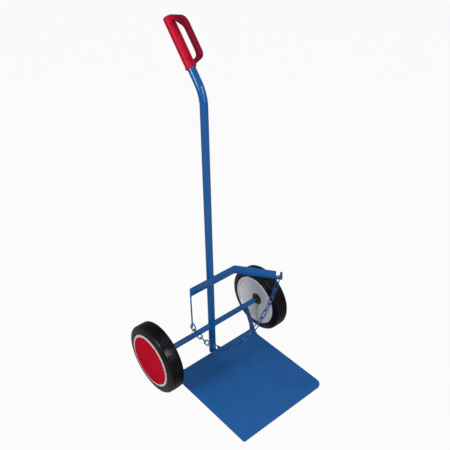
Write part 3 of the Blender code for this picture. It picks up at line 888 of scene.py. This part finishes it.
# Tyres
# Solid black rubber rings, moulded with five plain ribs round the tread and a ledge on each flank.
# They are stretched over the rims, sit between the two lips and keep the sheen of new rubber.

tyre_radius = 0.125
tyre_half = 0.0288
heel_rise = 0.0004
heel_round = 0.0008
bulge_start = 0.004
bulge_end = 0.0105
bulge_fall = 0.0002
bulge_round = 0.003
ledge_rise = 0.0112
ledge_inset = 0.0012
ledge_edge = 0.0004
wall_drop = 0.009
wall_spread = 0.002
wall_round = 0.004
shoulder_drop = 0.0035
shoulder_round = 0.002
tread_half = 0.024
tread_flat = 0.0195
crown_drop = 0.0006
groove_count = 4
groove_pitch = 0.0090
groove_width = 0.0036
groove_depth = 0.0034
groove_slope = 0.0005
groove_round = 0.0005
rib_edge = 0.0007


def crown(x):
    """The tread's radius across its width, a little lower at the sides."""
    return tyre_radius - crown_drop * (x / tread_flat) ** 2


flank = [
    (seat_half - fit_gap, seat_radius + fit_gap, 0),
    (seat_half - fit_gap, rim_radius + heel_rise, heel_round),
    (tyre_half, rim_radius + bulge_start, shoulder_round),
    (tyre_half - bulge_fall, rim_radius + bulge_end, bulge_round),
    (tyre_half - ledge_inset, rim_radius + ledge_rise, ledge_edge),
    (tread_half + wall_spread, tyre_radius - wall_drop, wall_round),
    (tread_half, tyre_radius - shoulder_drop, shoulder_round),
    (tread_flat, crown(tread_flat), shoulder_round),
]
groove = [(0.5, 0, rib_edge), (0.5, 1, groove_round), (-0.5, 1, groove_round), (-0.5, 0, rib_edge)]
tread = []
for i in range(groove_count):
    middle = groove_pitch * ((groove_count - 1) / 2 - i)
    for half, sink, corner in groove:
        x = middle + half * groove_width - math.copysign(groove_slope * sink, half)
        tread.append((x, crown(x) - groove_depth * sink, corner))
tyre_profile = flank + tread + [(-x, radius, corner) for x, radius, corner in reversed(flank)]

tyre_black = finish(
    "tyre_black",
    deep=(0.0022, 0.002, 0.0034),
    bright=(0.004, 0.0036, 0.0058),
    blotch=22.0,
    rough=(0.19, 0.25),
    dimple=800.0,
    depth=0.000002,
    specular=0.22,
)
on_wheels("_rubber", tyre_profile, tyre_black, "tyre_rubber", "_tyre")


# Hub bushes
# Black nylon bearings pressed into the rims, with a flange against the dish and a short neck
# that keeps the wheel off the axle's shoulder.

flange_radius = 0.023
flange_thickness = 0.003
flange_back_edge = 0.0006
flange_front_edge = 0.0009
neck_radius = 0.012
neck_root_round = 0.0012
neck_edge = 0.0006
bush_end = 0.012
bush_edge = 0.0005
bore_edge = 0.0003
bush_bore = stub_radius + fit_gap
bush_fit = bush_radius - fit_gap
flange_back = -flange_face - fit_gap
flange_front = -flange_face - flange_thickness
bush_profile = [
    (bush_end, bush_bore, 0),
    (bush_end, bush_fit, bush_edge),
    (flange_back, bush_fit, 0),
    (flange_back, flange_radius, flange_back_edge),
    (flange_front, flange_radius, flange_front_edge),
    (flange_front, neck_radius, neck_root_round),
    (-neck_end, neck_radius, neck_edge),
    (-neck_end, bush_bore, bore_edge),
]
bush_black = finish(
    "bush_black",
    deep=(0.008, 0.008, 0.009),
    bright=(0.013, 0.013, 0.014),
    blotch=60.0,
    rough=(0.32, 0.45),
    dimple=1400.0,
    depth=0.00005,
)
on_wheels("_bearing", bush_profile, bush_black, "bush_nylon", "_hub_bush", turned_steps)


# Washers and retainers
# A zinc-plated thrust washer and a domed push-on cap hold each wheel on its stub.
# They are hidden under the red wheel caps.

zinc_grey = finish(
    "zinc_grey",
    deep=(0.46, 0.46, 0.48),
    bright=(0.56, 0.56, 0.57),
    blotch=180.0,
    rough=(0.24, 0.38),
    dimple=2200.0,
    depth=0.00003,
)
surface(zinc_grey)[1].inputs["Metallic"].default_value = 1.0
for word in ("left", "right"):
    for part in ("washer", "retainer"):
        held = frame["nodes"][word + "_" + part]
        held.data.materials.clear()
        held.data.materials.append(zinc_grey)


# Wheel caps
# Flat discs of red plastic that snap into the outer face of each rim.
# A low bead runs round just inside the edge, where the skirt is moulded on behind.

cap_radius = cap_hole - fit_gap
cap_proud = 0.0015
cap_wall = 0.002
cap_edge_round = 0.0012
skirt_draft = 0.001
cap_bead_height = 0.0006
cap_bead_crest = 0.004
cap_bead_foot = 0.005
cap_bead_round = 0.0006

cap_face = rim_half + cap_proud
cap_back = cap_face - cap_wall
skirt_end = cap_seat + fit_gap
skirt_inside = cap_radius - cap_wall
cap_profile = [
    (cap_back, 0.0, 0),
    (cap_back, skirt_inside - skirt_draft, 0),
    (skirt_end, skirt_inside, 0),
    (skirt_end, cap_radius, 0),
    (cap_face, cap_radius, cap_edge_round),
    (cap_face, cap_radius - cap_bead_crest, cap_bead_round),
    (cap_face - cap_bead_height, cap_radius - cap_bead_foot, cap_bead_round),
    (cap_face - cap_bead_height, 0.0, 0),
]
cap_red = finish(
    "cap_red",
    deep=(0.505, 0.0032, 0.0185),
    bright=(0.55, 0.0046, 0.024),
    blotch=16.0,
    rough=(0.3, 0.4),
    dimple=500.0,
    depth=0.00003,
    specular=0.005,
)
on_wheels("_cap", cap_profile, cap_red, "cap_plastic", "_hub_cap")


# Chain
# Welded steel links of 4 mm wire, sprayed with the frame and rubbed bright where they bear.
# One end link hangs in the left arm's eye, the other drops into the slot of the right arm.

wire_radius = 0.002
link_pitch = 0.0284
link_gap = 0.0005
link_clear = 0.0006
free_links = 19
left_tilt = math.radians(18.0)
left_slip = 0.0020
right_drop = 0.001
steepest = 50.0
halvings = 60

yaw = math.atan2(right_slot.y - left_eye.y, right_slot.x - left_eye.x)
link_half = (half_bar + wire_radius + link_clear) / math.cos(splay + abs(yaw))
link_reach = link_pitch + 2 * wire_radius
wire_step = 2 * wire_radius + link_gap
step_length = link_pitch - link_gap
face_chain = Matrix.Rotation(yaw, 4, "Z")
left_drop = link_reach * Vector((math.sin(left_tilt), 0.0, -math.cos(left_tilt)))
right_fall = link_reach * Vector((0.0, 0.0, -1.0))
left_top = Vector((*left_eye, eye_height)) - face_chain @ Vector((left_slip, 0.0, 0.0))
right_top = Vector((*right_slot, slot_height - right_drop))
left_low = left_top + face_chain @ left_drop
right_low = right_top + right_fall
span = (right_low - left_low).length
rise = math.asin((right_low.z - left_low.z) / span)
span_middle = Matrix.Translation((left_low + right_low) / 2)
hang = span_middle @ face_chain @ Matrix.Rotation(-rise, 4, "Y")
first_slip = wire_step * math.tan(left_tilt)

slack, taut = 0.0, steepest
for _ in range(halvings):
    slope = (slack + taut) / 2
    dips = [math.atan(slope * (i - (free_links - 1) / 2)) for i in range(free_links)]
    width = step_length * sum(math.cos(dip) for dip in dips) + wire_step * math.cos(dips[0])
    if width > span + first_slip:
        slack = slope
    else:
        taut = slope
first_dip = Vector((math.cos(dips[0]), 0.0, math.sin(dips[0])))
hang_line = [Vector((-span / 2 - first_slip, 0.0, wire_step)) + first_dip * wire_step / 2]
for dip in dips:
    hang_line.append(hang_line[-1] + step_length * Vector((math.cos(dip), 0.0, math.sin(dip))))

link_tree, given, out = node_tree(
    "chain_links",
    {
        "Link length": "NodeSocketFloat",
        "Link width": "NodeSocketFloat",
        "Wire radius": "NodeSocketFloat",
        "First turn": "NodeSocketInt",
        "Finish": "NodeSocketMaterial",
    },
)
ends = add(link_tree, "GeometryNodeInputMeshEdgeVertices")
tangent = add(
    link_tree,
    "ShaderNodeVectorMath",
    {0: ends.outputs["Position 2"], 1: ends.outputs["Position 1"]},
    operation="SUBTRACT",
)
noted = add(link_tree, "GeometryNodeCaptureAttribute", {"Geometry": given["Path"]}, domain="EDGE")
noted.capture_items.new("VECTOR", "tangent")
link_tree.links.new(tangent.outputs[0], noted.inputs["tangent"])
spots = add(
    link_tree, "GeometryNodeMeshToPoints", {"Mesh": noted.outputs["Geometry"]}, mode="EDGES"
)
lay = add(
    link_tree,
    "FunctionNodeAlignRotationToVector",
    {"Vector": noted.outputs["tangent"]},
    axis="X",
    pivot_axis="Y",
)
number = add(link_tree, "GeometryNodeInputIndex").outputs[0]
odd = reckon(link_tree, "MODULO", reckon(link_tree, "ADD", number, given["First turn"]), 2.0)
quarter = reckon(link_tree, "MULTIPLY", odd, math.pi / 2)
spin = add(
    link_tree, "FunctionNodeAxisAngleToRotation", {"Axis": (1.0, 0.0, 0.0), "Angle": quarter}
)
twist = add(
    link_tree,
    "FunctionNodeRotateRotation",
    {"Rotation": lay.outputs[0], "Rotate By": spin.outputs[0]},
    rotation_space="LOCAL",
)
blank = add(
    link_tree,
    "GeometryNodeCurvePrimitiveQuadrilateral",
    {"Width": given["Link length"], "Height": given["Link width"]},
)
almost_half = 0.4999
oval = add(
    link_tree,
    "GeometryNodeFilletCurve",
    {
        "Curve": blank.outputs[0],
        "Count": 7,
        "Radius": reckon(link_tree, "MULTIPLY", given["Link width"], almost_half),
    },
    mode="POLY",
)
wire = add(
    link_tree,
    "GeometryNodeCurvePrimitiveCircle",
    {"Resolution": 12, "Radius": given["Wire radius"]},
)
bent = add(
    link_tree,
    "GeometryNodeCurveToMesh",
    {"Curve": oval.outputs[0], "Profile Curve": wire.outputs[0]},
)
here = add(link_tree, "GeometryNodeInputPosition").outputs[0]
apart = add(link_tree, "ShaderNodeSeparateXYZ", {0: here})
off_middle = reckon(link_tree, "ABSOLUTE", apart.outputs["X"])
marked = add(
    link_tree,
    "GeometryNodeStoreNamedAttribute",
    {
        "Geometry": bent.outputs[0],
        "Name": "rubbed",
        "Value": reckon(link_tree, "DIVIDE", off_middle, given["Link length"]),
    },
    data_type="FLOAT",
    domain="POINT",
)
hung = add(
    link_tree,
    "GeometryNodeInstanceOnPoints",
    {"Points": spots.outputs[0], "Instance": marked.outputs[0], "Rotation": twist.outputs[0]},
)
end_tree(link_tree, hung.outputs[0], given, out)

bare_steel = (0.30, 0.33, 0.38)
# The links' blue is the frame's enamel painted about a third darker: painted shade on the thin
# wire. The bare steel at their ends is wear.
shaded_chain_enamel = blue_enamel(
    "shaded_chain_enamel",
    deep=(0.0035, 0.054, 0.183),
    bright=(0.0055, 0.066, 0.222),
    rough=(0.13, 0.17),
    specular=0.3,
)
tree, shader = surface(shaded_chain_enamel)
bearing_end = add(tree, "ShaderNodeAttribute", attribute_name="rubbed").outputs["Fac"]
rub_ends = {"From Min": 0.40, "From Max": 0.56, "To Min": 0.0, "To Max": 0.28}
rub = add(tree, "ShaderNodeMapRange", {"Value": bearing_end, **rub_ends}).outputs["Result"]
patchy = reckon(tree, "MULTIPLY", rub, noise(tree, scale=300.0, low=0.2, high=1.0))
overlaid(shaded_chain_enamel, patchy, bare_steel)
tree.links.new(patchy, shader.inputs["Metallic"])

link_sizes = {
    "Link length": link_reach,
    "Link width": 2 * link_half,
    "Wire radius": wire_radius,
    "Finish": shaded_chain_enamel,
}
hang_edges = chain_of_edges("hang_line", hang_line)
chain_mesh = grown(hang_edges, link_tree, {**link_sizes, "First turn": 0})
chain_mesh.transform(hang)
free_nodes = ["chain_link_%02d" % (i + 1) for i in range(free_links)]
fitted("chain", chain_mesh, shaded_chain_enamel, "chain", "chain_paint", *free_nodes)
for word, top, drop in (("left", left_top, left_drop), ("right", right_top, right_fall)):
    drop_edge = chain_of_edges(word + "_drop", [(0.0, 0.0, 0.0), drop])
    hanger = grown(drop_edge, link_tree, {**link_sizes, "First turn": 1})
    hanger.transform(Matrix.Translation(top) @ face_chain)
    fitted(word + "_hanger", hanger, shaded_chain_enamel, "frame", "chain_paint", word + "_end_link")


# Studio
# A plain pale floor without a seam under a dim, even surround that looks white to the camera.
# Two narrow lamps in front draw the streaks on the tubes, and two broad ones fill in.

floor_drop = 0.0008
floor_size = 40.0
floor_depth = 0.1
floor_grey = (0.34, 0.34, 0.34, 1.0)
floor_rough = 0.9
floor_specular = 0.1
floor_white = 0.95
mirror_share = 0.08
surround_colour = (0.95, 0.97, 1.0, 1.0)
surround_strength = 0.22
plain_white = {"Color": (1.0, 1.0, 1.0, 1.0), "Strength": 1.0}


def sight(tree):
    """1 for a ray that sees this straight or through glass, less in a reflection, 0 for light."""
    rays = add(tree, "ShaderNodeLightPath").outputs
    straight = reckon(tree, "MAXIMUM", rays["Is Camera Ray"], rays["Is Transmission Ray"])
    reflected = reckon(tree, "MULTIPLY", rays["Is Glossy Ray"], mirror_share)
    return reckon(tree, "MAXIMUM", straight, reflected)


floor_loop = [
    (-floor_size, -floor_size),
    (floor_size, -floor_size),
    (floor_size, floor_size),
    (-floor_size, floor_size),
]
floor_mesh = slab("floor", floor_loop, -floor_depth, -floor_drop)
floor = in_scene("floor", floor_mesh)
pale = bpy.data.materials.new("pale_floor")
pale.use_nodes = True
tree, shader = surface(pale)
shader.inputs["Base Color"].default_value = floor_grey
shader.inputs["Roughness"].default_value = floor_rough
shader.inputs["Specular IOR Level"].default_value = floor_specular
white = add(tree, "ShaderNodeEmission", plain_white)
share = reckon(tree, "MULTIPLY", sight(tree), floor_white)
both = add(tree, "ShaderNodeMixShader", {0: share, 1: shader.outputs[0], 2: white.outputs[0]})
tree.links.new(both.outputs[0], tree.nodes["Material Output"].inputs["Surface"])
floor_mesh.materials.append(pale)

world = bpy.data.worlds.new("surround")
world.use_nodes = True
tree = world.node_tree
dim = tree.nodes["Background"]
dim.inputs["Color"].default_value = surround_colour
dim.inputs["Strength"].default_value = surround_strength
white = add(tree, "ShaderNodeBackground", plain_white)
both = add(tree, "ShaderNodeMixShader", {0: sight(tree), 1: dim.outputs[0], 2: white.outputs[0]})
tree.links.new(both.outputs[0], tree.nodes["World Output"].inputs["Surface"])
bpy.context.scene.world = world


def lamp(name, place, aim, width, height, power):
    """A soft lamp with a flat face that looks at a point."""
    light = bpy.data.lights.new(name, "AREA")
    light.shape = "RECTANGLE"
    light.size = width
    light.size_y = height
    light.energy = power
    head = in_scene(name, light)
    head.location = place
    head.rotation_euler = (Vector(aim) - Vector(place)).to_track_quat("-Z", "Y").to_euler()


lamp("right_key", (0.34, -2.0, 1.9), aim=(0.0, 0.0, 0.5), width=0.32, height=0.8, power=24.0)
lamp("front_strip", (-0.2, -2.4, 1.1), aim=(0.0, 0.0, 0.8), width=0.22, height=0.5, power=11.0)
lamp("left_fill", (-2.5, 0.0, 1.75), aim=(0.0, 0.0, 0.4), width=1.0, height=1.4, power=44.0)
lamp("high_fill", (-1.0, -1.6, 5.5), aim=(0.0, -0.1, 0.4), width=1.4, height=1.4, power=84.0)


# Camera
# It stands where the photograph was taken from: in front of the left wheel, looking down.
# Its place, turn and lens were solved from the plate's edges, the mast, the axle and the wheels.

camera_place = Vector((-1.0291, -1.3214, 1.6431))
camera_azimuth = math.radians(-39.88)
camera_elevation = math.radians(33.07)
camera_roll = math.radians(-1.01)
camera_lens = 49.41
sensor_width = 36.0
photo_pixels = 450
half_pixel = 0.5 / photo_pixels

level = math.cos(camera_elevation)
back = Vector(
    (
        math.sin(camera_azimuth) * level,
        -math.cos(camera_azimuth) * level,
        math.sin(camera_elevation),
    )
)
right = Vector((0.0, 0.0, 1.0)).cross(back).normalized()
up = back.cross(right)
rolled_right = right * math.cos(camera_roll) + up * math.sin(camera_roll)
rolled_up = up * math.cos(camera_roll) - right * math.sin(camera_roll)
eye = bpy.data.cameras.new("camera")
eye.sensor_width = sensor_width
eye.lens = camera_lens
eye.shift_x = -half_pixel
eye.shift_y = half_pixel
camera = in_scene("camera", eye)
camera.matrix_world = Matrix(
    (
        (rolled_right.x, rolled_up.x, back.x, camera_place.x),
        (rolled_right.y, rolled_up.y, back.y, camera_place.y),
        (rolled_right.z, rolled_up.z, back.z, camera_place.z),
        (0.0, 0.0, 0.0, 1.0),
    )
)
bpy.context.scene.camera = camera
bpy.context.scene.view_settings.view_transform = "Standard"
